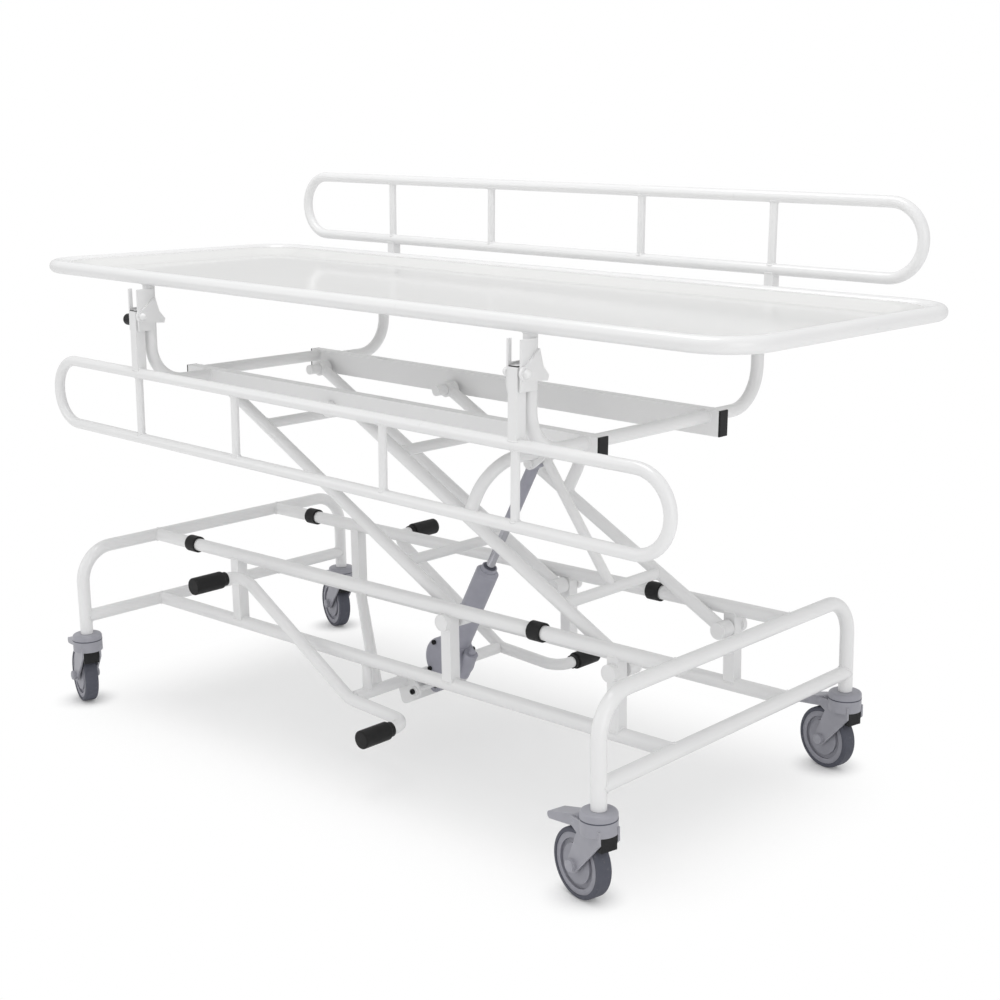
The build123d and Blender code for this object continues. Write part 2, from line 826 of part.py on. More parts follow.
with BuildPart() as release_knob:
    knob_face = knob_post_x - ear_outer - running_fit
    bar(*along(knob_post_x - ear_inner, knob_face, knob_y, knob_z), plunger_diameter)
    bar(*along(knob_face, knob_face - knob_length, knob_y, knob_z), knob_diameter)
    fillet(release_knob.faces().sort_by(Axis.X)[0].edges(), knob_edge)
save_deck(release_knob.part, "release_knob")

# Side rails, drawn raised on the far side
far_hinge = (rail_centre_x, rail_pivot_y, hinge_z)
rail_plane = Plane(origin=far_hinge, x_dir=(1, 0, 0), z_dir=(0, -1, 0))
post_plane = rail_plane.offset(-rail_post_outset)
near_hinge_axis = Axis((0, -rail_pivot_y, hinge_z), (1, 0, 0))


def rail_point(x, distance):
    return x, rail_pivot_y, hinge_z + distance


def rail_copes():
    for distance in (rail_inner, rail_outer):
        cope(rail_point(-rail_length / 2, distance), rail_point(rail_length / 2, distance), rail_tube)


def save_rail(piece, name):
    save_deck(piece, f"far_{name}")
    save_deck(piece.mirror(Plane.XZ).rotate(near_hinge_axis, 180), f"near_{name}")


with BuildPart() as rail_loop:
    loop_middle = (rail_inner + rail_outer) / 2
    loop_end = (rail_length - rail_tube) / 2
    bend_start = loop_end - (rail_outer - rail_inner) / 2
    for end in sides:
        with BuildLine(rail_plane) as half_loop:
            Line((0, rail_inner), (end * bend_start, rail_inner))
            ThreePointArc(
                (end * bend_start, rail_inner),
                (end * loop_end, loop_middle),
                (end * bend_start, rail_outer),
            )
            Line((end * bend_start, rail_outer), (0, rail_outer))
        swept_tube(half_loop.wire(), rail_tube)
save_rail(rail_loop.part, "rail_loop")

with BuildPart() as rail_bars:
    for x in (*post_positions, post_centre_x - rail_bar_offset, post_centre_x + rail_bar_offset):
        tube(rail_point(x, rail_inner), rail_point(x, rail_outer), rail_bar)
    rail_copes()
save_rail(rail_bars.part, "rail_bars")

with BuildPart() as rail_posts:
    for x in post_positions:
        offset = x - rail_centre_x
        post_middle = (rail_inner - rail_post_end) / 2
        hollow_end = hinge_pin + tube_wall
        with BuildSketch(post_plane):
            with Locations((offset, post_middle)):
                Rectangle(rail_post_width, rail_inner + rail_post_end)
        extrude(amount=rail_post_depth / 2, both=True)
        with BuildSketch(post_plane):
            with Locations((offset, (rail_inner + hollow_end) / 2)):
                Rectangle(rail_post_width - 2 * tube_wall, rail_inner - hollow_end)
        extrude(amount=rail_post_depth / 2 - tube_wall, both=True, mode=Mode.SUBTRACT)
    bar(rail_point(-rail_length / 2, 0), rail_point(rail_length / 2, 0), pin_bore, Mode.SUBTRACT)
    rail_copes()
save_rail(rail_posts.part, "rail_posts")

# Casters
axle_z = wheel_diameter / 2
head_top = leg_bottom_z - swivel_gap
head_bottom = head_top - head_height
plate_inner = tyre_width / 2 + fork_gap
plate_outer = plate_inner + fork_plate
flange_top = head_bottom - swivel_gap
caster_pedal_z = head_bottom + pedal_rise
caster_pedal_x = -head_diameter / 2 - pedal_root_radius - side_play
pedal_tip = (-pedal_reach + pedal_tip_radius, caster_pedal_z - pedal_drop)

with BuildPart() as caster_stems:
    plug_diameter = base_tube - 2 * tube_wall - 2 * weld_gap
    for x in (-half_base, half_base):
        for side in sides:
            y = side * half_track
            bar((x, y, leg_bottom_z), (x, y, leg_bottom_z + stem_plug_length), plug_diameter)
            bar((x, y, flange_top - stem_flange_length), (x, y, leg_bottom_z), stem_pin)
            bar((x, y, flange_top - stem_flange_length), (x, y, flange_top), stem_flange)
save(caster_stems.part, "caster_stems")

with BuildPart() as axle:
    axle_end = plate_outer + weld_gap
    bar(*across(-caster_trail, -axle_end, axle_end, axle_z), axle_diameter)
    for side in sides:
        head_end = side * (axle_end + axle_head_length)
        bar(*across(-caster_trail, side * axle_end, head_end, axle_z), axle_head)

with BuildPart() as fork:
    bar((0, 0, head_bottom), (0, 0, head_top), head_diameter)
    fillet(fork.edges().group_by(Axis.Z)[-1], head_edge)
    for face in (plate_outer, -plate_inner):
        shoulder = (fork_front - fork_back) / 2, head_bottom
        with BuildSketch(Plane.XZ.offset(face)) as leg_outline:
            with Locations((-caster_trail, axle_z)):
                Circle(boss_radius)
            with Locations(shoulder):
                Rectangle(fork_front + fork_back, 2 * fork_shoulder)
            make_hull()
        extrude(leg_outline.sketch, amount=-fork_plate)
        with BuildSketch(Plane.XZ.offset(face)) as ear_outline:
            with Locations((caster_pedal_x, caster_pedal_z)):
                Circle(fork_ear)
            with Locations(shoulder):
                Rectangle(fork_front + fork_back, 2 * fork_shoulder)
            make_hull()
        extrude(ear_outline.sketch, amount=-fork_plate)
    bar((0, 0, head_bottom), (0, 0, head_top), stem_pin + 2 * running_fit, Mode.SUBTRACT)
    bar(*across(-caster_trail, -track, track, axle_z), axle_diameter + 2 * weld_gap, Mode.SUBTRACT)
    bar(*across(caster_pedal_x, -track, track, caster_pedal_z), pedal_hinge + 2 * running_fit, Mode.SUBTRACT)
    add(axle.part)

with BuildPart() as wheel:
    hub_half = tyre_width / 2 - hub_recess
    bar(*across(-caster_trail, -hub_half, hub_half, axle_z), hub_diameter)
    for side in sides:
        groove = [side * (hub_half - hub_groove_depth), side * hub_half]
        with BuildSketch(Plane((-caster_trail, groove[0], axle_z), x_dir=(1, 0, 0), z_dir=(0, side, 0))):
            Circle(hub_groove_outer / 2)
            Circle(hub_groove_inner / 2, mode=Mode.SUBTRACT)
        extrude(amount=hub_groove_depth, mode=Mode.SUBTRACT)
    bar(*across(-caster_trail, -hub_half, hub_half, axle_z), axle_diameter + 2 * running_fit, Mode.SUBTRACT)

with BuildPart() as tyre:
    tyre_ends = across(-caster_trail, -tyre_width / 2, tyre_width / 2, axle_z)
    bar(*tyre_ends, wheel_diameter)
    fillet(tyre.edges().filter_by(GeomType.CIRCLE), tyre_edge)
    bar(*tyre_ends, hub_diameter + 2 * weld_gap, Mode.SUBTRACT)

with BuildPart() as brake_pedal:
    with BuildSketch(Plane.XZ.offset(pedal_width / 2)):
        with Locations((caster_pedal_x, caster_pedal_z)):
            Circle(pedal_root_radius)
        with Locations(pedal_tip):
            Circle(pedal_tip_radius)
        make_hull()
    extrude(amount=-pedal_width)
    bar(*across(caster_pedal_x, -plate_outer, plate_outer, caster_pedal_z), pedal_hinge)

for x, end_name, turn in (
    (-half_base, "left", left_caster_turn),
    (half_base, "right", right_caster_turn),
):
    for side, side_name in zip(sides, ("near", "far")):
        place = Location((x, side * half_track, 0), (0, 0, turn))
        for piece, name in ((fork, "fork"), (wheel, "wheel"), (tyre, "tyre"), (brake_pedal, "brake_pedal")):
            save(piece.part.moved(place), f"{side_name}_{end_name}_{name}")
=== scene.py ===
from math import atan2, cos, hypot, pi, radians, sin, sqrt

import bpy
from mathutils import Matrix, Vector


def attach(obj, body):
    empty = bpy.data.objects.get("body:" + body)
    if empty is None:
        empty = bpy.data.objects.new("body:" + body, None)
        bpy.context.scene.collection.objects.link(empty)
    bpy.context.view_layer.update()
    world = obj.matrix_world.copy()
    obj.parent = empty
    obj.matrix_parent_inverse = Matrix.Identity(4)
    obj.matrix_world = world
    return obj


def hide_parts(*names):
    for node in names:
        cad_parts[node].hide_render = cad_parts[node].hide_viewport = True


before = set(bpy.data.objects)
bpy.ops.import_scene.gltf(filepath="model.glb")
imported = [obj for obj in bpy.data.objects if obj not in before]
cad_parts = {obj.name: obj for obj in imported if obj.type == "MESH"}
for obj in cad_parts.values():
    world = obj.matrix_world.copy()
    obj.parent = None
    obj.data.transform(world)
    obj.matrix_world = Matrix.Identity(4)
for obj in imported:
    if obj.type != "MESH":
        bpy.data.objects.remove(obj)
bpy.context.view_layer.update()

MM = 0.001
X, Y, Z = Vector((1, 0, 0)), Vector((0, 1, 0)), Vector((0, 0, 1))
sides = (-1, 1)

# Base frame: the sizes that the added pieces sit on, in metres
half_base = 750 * MM
half_track = 383 * MM
side_y = 177 * MM
lower_tube_z = 210 * MM
upper_tube_z = 363 * MM
base_radius = 14 * MM
upright_half = 12.5 * MM
upright_x = (-447 * MM, 208.16 * MM, 622 * MM)
pivot_face = 189.55 * MM
pivot_cap_length = 12 * MM

# Lift arms
right_foot = Vector((622, 0, 328)) * MM
right_top = Vector((-100, 0, 725)) * MM
left_foot = right_foot + Vector((-413.84, 0, 11.56)) * MM
arm_y = 145 * MM
arm_radius = 12.5 * MM
cross_radius = 11 * MM
cross_stations = (662 * MM, 176 * MM)
hoop_station = 446 * MM
hoop_height = 129.5 * MM
brace_radius = 10 * MM

# Deck
deck_tilt = radians(1.6)
rim_z = 968 * MM
rim_y = 340.5 * MM
rim_radius = 14 * MM
deck_rail_face = 190.5 * MM
deck_rail_inside = 165.5 * MM
deck_leg_z = 748 * MM
deck_cross_x = (-558 * MM, 559.6 * MM)
post_x = (-505.6 * MM, 559.6 * MM)
post_y = 332 * MM
post_radius = 12.5 * MM
tilt_deck = (
    Matrix.Translation(right_top)
    @ Matrix.Rotation(deck_tilt, 4, "Y")
    @ Matrix.Translation(-right_top)
)

# Tray
tray_centre_x = 32 * MM
tray_length = 1845.7 * MM
tray_width = 654.7 * MM
tray_corner = 110 * MM
tray_corner_steps = 24
tray_top_z = 976 * MM
tray_sheet = 3 * MM
tray_dish = 16 * MM
tray_slope = 62 * MM
tray_rings = 14
tray_edge = 0.8 * MM

# Side rails
hinge_y = 366 * MM
hinge_z = 891 * MM
rail_radius = 11 * MM
rail_inner = 120 * MM
rail_outer = 258.5 * MM
rail_bar_x = (-505.6 * MM, -185 * MM, 239 * MM, 559.6 * MM)
rail_bar_radius = 8 * MM
rail_post_half = 10.5 * MM
rail_post_outset = 2 * MM
rail_post_end = 10 * MM
# A black plate at the end of each rail post, under a white cap set in a little, is painted shade:
# a dark sheet that stands for the shadow gap at the post's end.
end_plate_width = 19 * MM
end_plate_depth = 21 * MM
shadow_plug_height = 1.6 * MM
cap_inset = 2 * MM
cap_height = 0.7 * MM
plate_ease = 0.3

# Pedals, pump bracket and hydraulic strut
pedal_shaft = Vector((-35.98, 0, 136.96)) * MM
pedal_brace_y = 150 * MM
lever_radius = 12.5 * MM
hanger_radius = 10 * MM
bracket_face = 73 * MM
bracket_back = 68 * MM
foot_pin_face = 78 * MM
strut_foot = Vector((-4.38, 0, 119.96)) * MM
strut_slope = radians(61.3)
pump_centre = 73 * MM
pump_face = 29 * MM
pump_bolt_circle = 40 * MM
pump_bolt_turns = (26, 116, 218, 300)
pump_screw_radius = 5.2 * MM
pump_screw_height = 4.5 * MM
bracket_screw_radius = 6 * MM
bracket_screw_height = 5 * MM
bracket_front_screw = Vector((-33.46, -18, 107)) * MM
screw_ease = 0.12
recess_width = 0.52
recess_depth = 0.7
filler_flats = 15 * MM
filler_height = 8 * MM
filler_ease = 1.2 * MM
filler_station = 120 * MM
filler_offset = 44 * MM
wiper_station = 320.1 * MM

# Casters
caster_trail = 44 * MM
axle_z = 62.5 * MM
axle_end = 26.05 * MM
tyre_clear = 66.5 * MM
head_seam_z = 157 * MM
block_place = (14 * MM, 0, 119 * MM)
block_size = (27 * MM, 33.5 * MM, 26 * MM)
block_cuts = 7
block_ease = 1.5 * MM
caster_turn = {"left": radians(-18), "right": radians(-12)}
caster_x = {"left": -half_base, "right": half_base}
caster_y = {"near": -half_track, "far": half_track}

# Profiles of the turned pieces, as radius and height in millimetres
pivot_cover_profile = (
    (0, 3.4), (4, 3.2), (8, 2.7), (12, 1.7), (14.5, 0.7), (15.6, 0.1), (15.6, 0.02), (0, 0.02),
)
wiper_profile = (
    (9.3, 0), (13.2, 0), (13.2, 1.2), (11.6, 2.6), (10, 3), (9.3, 2.6), (9.3, 0),
)
head_radius = 32.5
seal_inner, seal_outer = head_radius - 0.8, head_radius + 0.35
swivel_seal_profile = (
    (seal_inner, -1.4), (seal_outer, -1), (seal_outer, 1), (seal_inner, 1.4), (seal_inner, -1.4),
)
axle_cap_profile = (
    (0, 6.4), (4, 6.2), (7.5, 5.5), (9.6, 4.5), (10.4, 3.4), (10.4, 0.1), (0, 0.1),
)

# Weld beads
bead_radius = 2 * MM
bead_steps = 60
bead_sides = 8
bead_ripples = 30
bead_wave = 0.22 * MM
square_corner = 1.3

# Angles in degrees under which an edge is shaded smooth
plain_smooth = 35
screw_smooth = 40
tray_smooth = 40
cover_smooth = 50
bead_smooth = 60

# Places of the colour sockets on a Mix node
mix_factor, mix_first, mix_second, mix_result = 0, 6, 7, 2


# Shader maths
class Shade:
    """A socket of a finish. Operators between shades and numbers add Math nodes."""

    def __init__(self, tree, socket=None):
        self.tree = tree
        self.socket = socket

    def node(self, kind, settings, sockets, output=0):
        made = self.tree.nodes.new("ShaderNode" + kind)
        for name, setting in settings.items():
            setattr(made, name, setting)
        for name, given in sockets.items():
            if isinstance(given, Shade):
                self.tree.links.new(given.socket, made.inputs[name])
            else:
                made.inputs[name].default_value = given
        return Shade(self.tree, made.outputs[output] if made.outputs else None)

    def maths(self, operation, first, second):
        return self.node("Math", {"operation": operation}, {0: first, 1: second})

    def __add__(self, other):
        return self.maths("ADD", self, other)

    def __radd__(self, other):
        return self.maths("ADD", other, self)

    def __sub__(self, other):
        return self.maths("SUBTRACT", self, other)

    def __rsub__(self, other):
        return self.maths("SUBTRACT", other, self)

    def __mul__(self, other):
        return self.maths("MULTIPLY", self, other)

    def __rmul__(self, other):
        return self.maths("MULTIPLY", other, self)

    def noise(self, scale, detail=2, roughness=0.5, stretch=None):
        place = self.node("TexCoord", {}, {}, "Object")
        if stretch:
            place = self.node("Mapping", {}, {"Vector": place, "Scale": stretch})
        sockets = {"Vector": place, "Scale": scale, "Detail": detail, "Roughness": roughness}
        return self.node("TexNoise", {}, sockets)

    def step(self, low, high):
        """A smooth rise from 0 at low to 1 at high."""
        settings = {"interpolation_type": "SMOOTHSTEP"}
        return self.node("MapRange", settings, {"Value": self, "From Min": low, "From Max": high})

    def over(self, under, patch):
        """A colour laid over another one where this mask is bright."""
        sockets = {mix_factor: self, mix_first: under, mix_second: (*patch, 1)}
        return self.node("Mix", {"data_type": "RGBA"}, sockets, mix_result)

    def tint(self, dark, light):
        return self.over((*dark, 1), light)

    def bump(self, strength, distance):
        return self.node("Bump", {}, {"Height": self, "Strength": strength, "Distance": distance})


def new_finish(name):
    finish = bpy.data.materials.new(name)
    finish.use_nodes = True
    finish.node_tree.nodes.clear()
    return finish, Shade(finish.node_tree)


def surface(shade, sockets):
    skin = shade.node("BsdfPrincipled", {}, sockets)
    shade.node("OutputMaterial", {}, {"Surface": skin})


def edge_mask(shade, width):
    """Bright along the edges that hands and floors rub."""
    rounded = shade.node("Bevel", {"samples": 4}, {"Radius": width})
    flat = shade.node("NewGeometry", {}, {}, "Normal")
    dot = {"operation": "DOT_PRODUCT"}
    agree = shade.node("VectorMath", dot, {0: rounded, 1: flat}, "Value")
    return (1 - agree).step(0.01, 0.16)


# Finishes
def powder_coat():
    finish, shade = new_finish("white_powder_coat")
    tone = shade.noise(scale=5)
    scuff = shade.noise(scale=42, detail=6, roughness=0.72).step(0.64, 0.78)
    peel = shade.noise(scale=620)
    clean = tone.tint(dark=(0.80, 0.80, 0.806), light=(0.84, 0.84, 0.838))
    surface(shade, {
        "Base Color": scuff.over(clean, patch=(0.72, 0.72, 0.72)),
        "Roughness": 0.26 + tone * 0.06 + scuff * 0.16,
        "Normal": (peel + scuff * 0.3).bump(strength=0.09, distance=0.6 * MM),
        "Coat Weight": 0.5,
        "Coat Roughness": 0.08,
    })
    return finish


def tray_gloss():
    finish, shade = new_finish("glossy_tray_sheet")
    tone = shade.noise(scale=2.2)
    ripple = shade.noise(scale=3.4, detail=1)
    along_tray = (1, 14, 1)
    scratch = shade.noise(scale=55, detail=5, roughness=0.7, stretch=along_tray).step(0.62, 0.8)
    grain = shade.noise(scale=900, detail=1)
    clean = tone.tint(dark=(0.755, 0.755, 0.747), light=(0.78, 0.78, 0.772))
    surface(shade, {
        "Base Color": scratch.over(clean, patch=(0.735, 0.735, 0.73)),
        "Roughness": 0.10 + tone * 0.04 + scratch * 0.08,
        "Normal": (ripple * 2 + grain * 0.02).bump(strength=0.07, distance=3 * MM),
        "Coat Weight": 0.42,
        "Coat Roughness": 0.06,
    })
    return finish


def satin_grey(name, dark, light, worn, roughness):
    finish, shade = new_finish(name)
    tone = shade.noise(scale=60, detail=3)
    grain = shade.noise(scale=1400)
    patches = shade.noise(scale=180, detail=4, roughness=0.7).step(0.35, 0.62)
    worn_edge = edge_mask(shade, 1.2 * MM) * patches
    surface(shade, {
        "Base Color": worn_edge.over(tone.tint(dark, light), worn),
        "Roughness": roughness + tone * 0.1 - worn_edge * 0.12,
        "Normal": grain.bump(strength=0.16, distance=0.3 * MM),
    })
    return finish


def tyre_rubber():
    finish, shade = new_finish("grey_tyre_rubber")
    tone = shade.noise(scale=45, detail=4, roughness=0.6)
    grain = shade.noise(scale=1100, detail=3)
    dust = shade.noise(scale=120, detail=5, roughness=0.7).step(0.56, 0.8)
    clean = tone.tint(dark=(0.062, 0.065, 0.086), light=(0.088, 0.092, 0.118))
    surface(shade, {
        "Base Color": dust.over(clean, patch=(0.16, 0.16, 0.175)),
        "Roughness": 0.55 + tone * 0.15 + dust * 0.12,
        "Normal": grain.bump(strength=0.22, distance=0.4 * MM),
    })
    return finish


def black_grain(name, dark, light, roughness, grain_scale):
    finish, shade = new_finish(name)
    tone = shade.noise(scale=70, detail=4, roughness=0.6)
    grain = shade.noise(scale=grain_scale, detail=3, roughness=0.6)
    rubbed = shade.noise(scale=26, detail=5, roughness=0.7).step(0.6, 0.82)
    surface(shade, {
        "Base Color": rubbed.over(tone.tint(dark, light), patch=(0.034, 0.034, 0.036)),
        "Roughness": roughness + tone * 0.12 - rubbed * 0.08,
        "Specular IOR Level": 0.22,
        "Normal": grain.bump(strength=0.3, distance=0.4 * MM),
    })
    return finish


def rod_chrome():
    finish, shade = new_finish("polished_rod_chrome")
    tone = shade.noise(scale=30, detail=3)
    lines = shade.noise(scale=240, detail=4, roughness=0.6, stretch=(1, 1, 0.1))
    surface(shade, {
        "Base Color": tone.tint(dark=(0.42, 0.42, 0.455), light=(0.52, 0.52, 0.555)),
        "Metallic": 1.0,
        "Roughness": 0.14 + lines * 0.14,
        "Normal": lines.bump(strength=0.05, distance=0.2 * MM),
    })
    return finish


finishes = {
    "white_frame": powder_coat(),
    "tray_gloss": tray_gloss(),
    "caster_metal": satin_grey(
        "satin_caster_grey", roughness=0.34,
        dark=(0.305, 0.305, 0.34), light=(0.36, 0.36, 0.40), worn=(0.55, 0.55, 0.56),
    ),
    "hub_plastic": satin_grey(
        "hub_grey", roughness=0.42,
        dark=(0.25, 0.25, 0.285), light=(0.32, 0.32, 0.36), worn=(0.42, 0.42, 0.45),
    ),
    "tyre": tyre_rubber(),
    "black_rubber": black_grain(
        "black_grip_rubber", roughness=0.46, grain_scale=1500,
        dark=(0.011, 0.011, 0.011), light=(0.019, 0.019, 0.020),
    ),
    "black_plastic": black_grain(
        "black_cap_plastic", roughness=0.36, grain_scale=2400,
        dark=(0.010, 0.010, 0.011), light=(0.018, 0.018, 0.019),
    ),
    "pump_grey": satin_grey(
        "pump_grey_paint", roughness=0.34,
        dark=(0.31, 0.31, 0.36), light=(0.375, 0.375, 0.43), worn=(0.50, 0.50, 0.54),
    ),
    "rod_chrome": rod_chrome(),
}

# Finishes of the CAD nodes, white where none is named
slot_of_node = {
    "tray": "tray_gloss",
    "rubber_bumpers": "black_rubber",
    "pedal_grips": "black_rubber",
    "deck_rail_caps": "black_plastic",
    "release_knob": "black_plastic",
    "pump_body": "pump_grey",
    "cylinder": "pump_grey",
    "rod_end": "pump_grey",
    "piston_rod": "rod_chrome",
    "caster_stems": "caster_metal",
}
slot_of_caster_piece = {
    "_fork": "caster_metal",
    "_brake_pedal": "caster_metal",
    "_wheel": "hub_plastic",
    "_tyre": "tyre",
}
for name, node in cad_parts.items():
    slot = slot_of_node.get(name, "white_frame")
    for ending, caster_slot in slot_of_caster_piece.items():
        if name.endswith(ending):
            slot = caster_slot
    node.data.materials.clear()
    node.data.materials.append(finishes[slot])


# Modelling helpers
def start():
    """Object mode, with nothing selected."""
    if bpy.context.object and bpy.context.object.mode != "OBJECT":
        bpy.ops.object.mode_set(mode="OBJECT")
    bpy.ops.object.select_all(action="DESELECT")


def pick(piece):
    """Select one piece alone and make it the active one."""
    start()
    bpy.context.view_layer.objects.active = piece
    piece.select_set(True)


def frame_matrix(origin, along, across):
    """A local frame with Z along, and Y as near to across as it can be."""
    z = Vector(along).normalized()
    x = Vector(across).cross(z).normalized()
    y = z.cross(x)
    turn = Matrix((x, y, z)).transposed().to_4x4()
    return Matrix.Translation(Vector(origin)) @ turn


def facing_out(place, side):
    """A frame at a place whose Z faces out on one side of the trolley."""
    return frame_matrix(place, side * Y, Z)


def set_down(piece, matrix):
    piece.data.transform(matrix)
    piece.data.update()


def dress(piece, name, body, slot, angle=plain_smooth):
    """Name a piece, shade and colour it, and hang it on its body."""
    pick(piece)
    piece.name = name
    piece.data.name = name
    bpy.ops.object.transform_apply(location=True, rotation=True, scale=True)
    bpy.ops.object.mode_set(mode="EDIT")
    bpy.ops.mesh.select_all(action="SELECT")
    bpy.ops.mesh.normals_make_consistent(inside=False)
    bpy.ops.object.mode_set(mode="OBJECT")
    bpy.ops.object.shade_smooth_by_angle(angle=radians(angle))
    piece.data.materials.clear()
    piece.data.materials.append(finishes[slot])
    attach(piece, body)
    return piece


def joined(pieces):
    start()
    for piece in pieces:
        piece.select_set(True)
    bpy.context.view_layer.objects.active = pieces[0]
    if len(pieces) > 1:
        bpy.ops.object.join()
    return pieces[0]


def copied(pattern, matrix):
    """A copy of a modelled piece with its own mesh, set down at its place."""
    piece = pattern.copy()
    piece.data = pattern.data.copy()
    bpy.context.collection.objects.link(piece)
    set_down(piece, matrix)
    return piece


def repeated(pattern, places):
    """One piece that holds a copy of the pattern at each place. The pattern goes."""
    made = [copied(pattern, place) for place in places]
    bpy.data.objects.remove(pattern)
    return joined(made)


def dress_copies(patterns, places):
    """Dress a copy of every pattern at every place, and clear the patterns away."""
    for prefix, body, matrix in places:
        for name, (pattern, slot, angle) in patterns.items():
            dress(copied(pattern, matrix), f"{prefix}_{name}", body, slot, angle)
    for pattern, slot, angle in patterns.values():
        bpy.data.objects.remove(pattern)


def ease(piece, width):
    """Round the sharp edges of the active piece a little."""
    bevel = piece.modifiers.new("eased", "BEVEL")
    bevel.width = width
    bevel.segments = 2
    bevel.limit_method = "ANGLE"
    bpy.ops.object.modifier_apply(modifier="eased")


def standing_bar(vertices, radius, low, high):
    """An upright bar between two heights, with a corner for each vertex."""
    start()
    bpy.ops.mesh.primitive_cylinder_add(
        vertices=vertices, radius=radius, depth=high - low, location=(0, 0, (low + high) / 2)
    )
    bpy.ops.object.transform_apply(location=True)
    return bpy.context.object


def turned(profile, steps):
    """A round piece about local Z, spun from its profile in millimetres."""
    start()
    points = [Vector((radius, 0, height)) * MM for radius, height in profile]
    bpy.ops.mesh.primitive_plane_add(size=1)
    bpy.ops.object.mode_set(mode="EDIT")
    bpy.ops.mesh.merge(type="CENTER")
    bpy.ops.transform.translate(value=points[0])
    for point, following in zip(points, points[1:]):
        move = {"value": following - point}
        bpy.ops.mesh.extrude_region_move(TRANSFORM_OT_translate=move)
    bpy.ops.mesh.select_all(action="SELECT")
    bpy.ops.mesh.spin(steps=steps, angle=2 * pi, center=(0, 0, 0), axis=(0, 0, 1))
    bpy.ops.mesh.select_all(action="SELECT")
    bpy.ops.mesh.remove_doubles(threshold=1e-6)
    bpy.ops.object.mode_set(mode="OBJECT")
    return bpy.context.object


# Weld beads where tubes meet
def saddle(point, main, main_radius):
    """How far along local Z a line through a point leaves the main tube."""
    flat_point = point - main * point.dot(main)
    flat_way = Z - main * main.z
    a = flat_way.dot(flat_way)
    b = flat_point.dot(flat_way)
    c = flat_point.dot(flat_point) - main_radius ** 2
    return (sqrt(max(b * b - a * c, 0)) - b) / a


def weld(branch_radius, at, along, main_along, main_radius=None, corner=None, main_at=None):
    """A bead round a branch tube where it leaves a main tube, or a flat face.

    With a corner the branch is square, and its corners reach out by that ratio.
    """
    start()
    bpy.ops.mesh.primitive_torus_add(
        major_segments=bead_steps, minor_segments=bead_sides,
        major_radius=branch_radius, minor_radius=bead_radius,
    )
    bead = bpy.context.object
    place = frame_matrix(at, along, main_along)
    turned_back = place.to_3x3().inverted()
    main = (turned_back @ Vector(main_along)).normalized()
    aside = turned_back @ (Vector(at) - Vector(main_at or at))
    for point in bead.data.vertices:
        turn = atan2(point.co.y, point.co.x)
        swell = 1 + bead_wave / bead_radius * sin(bead_ripples * turn)
        out = (hypot(point.co.x, point.co.y) - branch_radius) * swell
        rise = point.co.z * swell
        reach = branch_radius
        if corner:
            reach /= max(abs(cos(turn)), abs(sin(turn)))
            reach = min(reach, branch_radius * corner)
        if main_radius:
            on_branch = Vector((reach * cos(turn), reach * sin(turn), 0))
            rise += saddle(aside + on_branch, main, main_radius)
        point.co = ((reach + out) * cos(turn), (reach + out) * sin(turn), rise)
    set_down(bead, place)
    return bead


def base_beads():
    beads = []
    for end in sides:
        for side in sides:
            leg = Vector((end * half_base, side * half_track, lower_tube_z))
            beads.append(weld(base_radius, leg, -side * Y, Z, base_radius))
            for height in (lower_tube_z, upper_tube_z):
                hoop = Vector((end * half_base, side * side_y, height))
                beads.append(weld(base_radius, hoop, -end * X, Y, base_radius))
    for x in upright_x:
        for side in sides:
            for height, way in ((lower_tube_z, 1), (upper_tube_z, -1)):
                foot = Vector((x, side * side_y, height))
                beads.append(weld(upright_half, foot, way * Z, X, base_radius, square_corner))
    brace_top = Vector((upright_x[0], side_y, lower_tube_z))
    brace_low = Vector((pedal_shaft.x, -pedal_brace_y, pedal_shaft.z))
    brace_along = brace_low - brace_top
    hanger_top = Vector((pedal_shaft.x, -side_y, lower_tube_z))
    hanger_low = Vector((pedal_shaft.x, -side_y, pedal_shaft.z))
    beads.append(weld(lever_radius, brace_top, brace_along, X, base_radius))
    beads.append(weld(lever_radius, brace_low, -brace_along, Y, lever_radius))
    beads.append(weld(hanger_radius, hanger_top, -Z, X, base_radius))
    beads.append(weld(hanger_radius, hanger_low, Z, Y, lever_radius))
    for side in sides:
        for face, way in ((bracket_face, 1), (bracket_back, -1)):
            on_plate = pedal_shaft + side * face * Y
            beads.append(weld(lever_radius, on_plate, way * side * Y, X))
    return joined(beads)


arm_along = (right_top - right_foot).normalized()
arm_up = Vector((arm_along.z, 0, -arm_along.x))


def cross_tube_beads(foot):
    beads = []
    for station in cross_stations:
        for side in sides:
            at = foot + arm_along * station + side * arm_y * Y
            beads.append(weld(cross_radius, at, -side * Y, arm_along, arm_radius))
    return beads


def left_arm_beads():
    return joined(cross_tube_beads(left_foot))


def right_arm_beads():
    """Beads of the right pair, which also carries the lift hoop and its brace."""
    beads = cross_tube_beads(right_foot)
    for side in sides:
        at = right_foot + arm_along * hoop_station + side * arm_y * Y
        beads.append(weld(arm_radius, at, arm_up, arm_along, arm_radius))
    crown = right_foot + arm_along * hoop_station + arm_up * hoop_height
    low_cross = right_foot + arm_along * cross_stations[1]
    beads.append(weld(brace_radius, crown, low_cross - crown, Y, arm_radius))
    beads.append(weld(brace_radius, low_cross, crown - low_cross, Y, cross_radius))
    return joined(beads)


def deck_beads():
    """Beads of the level deck, tilted with it."""
    beads = []
    for side in sides:
        for x in post_x:
            post_foot = Vector((x, side * deck_rail_face, deck_leg_z))
            beads.append(weld(post_radius, post_foot, side * Y, X))
            post_top = Vector((x, side * post_y, rim_z))
            on_rim = Vector((x, side * rim_y, rim_z))
            beads.append(weld(post_radius, post_top, -Z, X, rim_radius, main_at=on_rim))
        for x in deck_cross_x:
            cross_end = Vector((x, side * deck_rail_inside, deck_leg_z))
            beads.append(weld(post_radius, cross_end, -side * Y, X))
    piece = joined(beads)
    set_down(piece, tilt_deck)
    return piece


